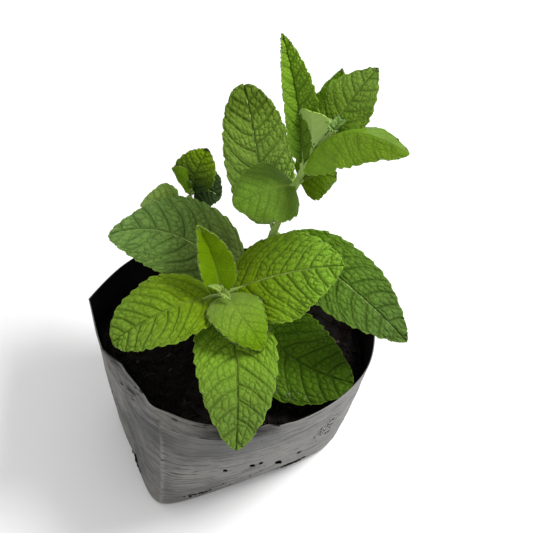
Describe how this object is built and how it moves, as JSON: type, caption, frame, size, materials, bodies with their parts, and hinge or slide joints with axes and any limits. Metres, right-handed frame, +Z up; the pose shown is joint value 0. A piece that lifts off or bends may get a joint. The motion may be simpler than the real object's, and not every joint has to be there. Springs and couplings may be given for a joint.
{
  "type": "potted mint plant",
  "caption": "Young mint plant: leafy square-stemmed shoots with toothed leaves, rooted in potting soil in a soft black film nursery bag.",
  "frame": {"origin": "on the flat underside of the bag, below the middle of its mouth", "axes": "+Z up, -Y towards the broad front of the bag, +X to the right seen from the front"},
  "size_m": [0.1171, 0.1277, 0.1823],
  "materials": {
    "bag_film": "soft black polyethylene film with a greyish sheen and fine wrinkles",
    "potting_soil": "dark moist potting soil, crumbly, with brown plant fibres",
    "young_leaf": "bright yellow-green young leaf, softly quilted between the veins",
    "mature_leaf": "mid to dark green leaf, quilted, with a low waxy sheen and fine hairs"
  },
  "bodies": {
    "root": {"polybag": "bag_film", "potting_soil": "potting_soil", "shoot_front": "young_leaf", "shoot_tall": "mature_leaf", "shoot_back": "mature_leaf"}
  },
  "joints": []
}
